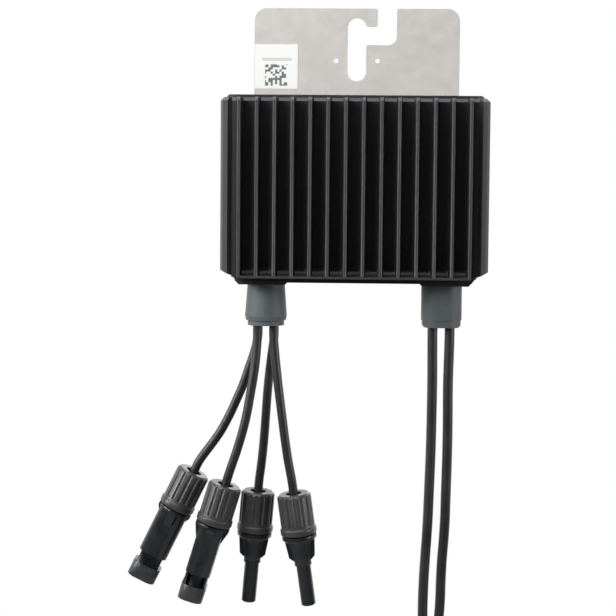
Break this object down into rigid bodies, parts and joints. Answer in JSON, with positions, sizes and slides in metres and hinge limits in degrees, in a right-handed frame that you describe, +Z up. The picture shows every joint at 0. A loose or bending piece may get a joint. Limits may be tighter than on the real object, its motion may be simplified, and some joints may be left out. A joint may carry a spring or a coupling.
{
  "type": "solar power optimizer with leads",
  "caption": "Module power optimizer: a black finned case on a slotted sheet bracket, with short input leads and longer output leads that end in cable connectors.",
  "frame": {"origin": "centre of the bolt slot's upper round seat, on the back face of the bracket", "axes": "+X to the right seen from the front, +Y out of the bracket's back face, +Z up as it hangs"},
  "size_m": [0.2232, 0.0495, 0.4506],
  "materials": {
    "bracket_sheet": "matte galvanised sheet",
    "case_black": "satin powder coat",
    "screw_steel": "plain",
    "seal_rubber": "matte",
    "collar_black": "matte",
    "relief_grey": "matte",
    "board_green": "solder mask",
    "part_black": "matte",
    "pad_blue": "matte",
    "core_grey": "matte",
    "copper": "enamelled wire",
    "capacitor_sleeve": "gloss",
    "terminal_brass": "plain",
    "lead_jacket": "satin",
    "tie_black": "matte",
    "nut_black": "satin",
    "plug_black": "satin",
    "contact_metal": "tin plate"
  },
  "bodies": {
    "root": {"mounting_bracket": "bracket_sheet", "bracket_screws": "screw_steel", "finned_case": "case_black", "rear_cover": "case_black", "cover_gasket": "seal_rubber", "cover_screws": "screw_steel", "input_gland_collar": "collar_black", "output_gland_collar": "collar_black", "input_strain_relief": "relief_grey", "output_strain_relief": "relief_grey", "input_grommet": "relief_grey", "output_grommet": "relief_grey", "circuit_board": "board_green", "board_screws": "screw_steel", "power_transistors": "part_black", "thermal_pad": "pad_blue", "inductor_1_core": "core_grey", "inductor_1_winding": "copper", "inductor_2_core": "core_grey", "inductor_2_winding": "copper", "input_capacitor_1": "capacitor_sleeve", "input_capacitor_2": "capacitor_sleeve", "output_capacitor_1": "capacitor_sleeve", "output_capacitor_2": "capacitor_sleeve", "control_chip": "part_black", "input_terminals": "terminal_brass", "output_terminals": "terminal_brass", "input_lead_1": "lead_jacket", "input_lead_2": "lead_jacket", "input_lead_3": "lead_jacket", "input_lead_4": "lead_jacket", "output_lead_1": "lead_jacket", "output_lead_2": "lead_jacket", "output_coil": "lead_jacket", "coil_tie": "tie_black", "output_tail_1": "lead_jacket", "output_tail_2": "lead_jacket", "input_1_nut": "nut_black", "input_1_body": "plug_black", "input_1_contact": "contact_metal", "input_2_nut": "nut_black", "input_2_body": "plug_black", "input_2_contact": "contact_metal", "input_3_nut": "nut_black", "input_3_body": "plug_black", "input_3_contact": "contact_metal", "input_3_seal": "seal_rubber", "input_4_nut": "nut_black", "input_4_body": "plug_black", "input_4_contact": "contact_metal", "input_4_seal": "seal_rubber", "output_1_nut": "nut_black", "output_1_body": "plug_black", "output_1_contact": "contact_metal", "output_2_nut": "nut_black", "output_2_body": "plug_black", "output_2_contact": "contact_metal", "output_2_seal": "seal_rubber"}
  },
  "joints": []
}
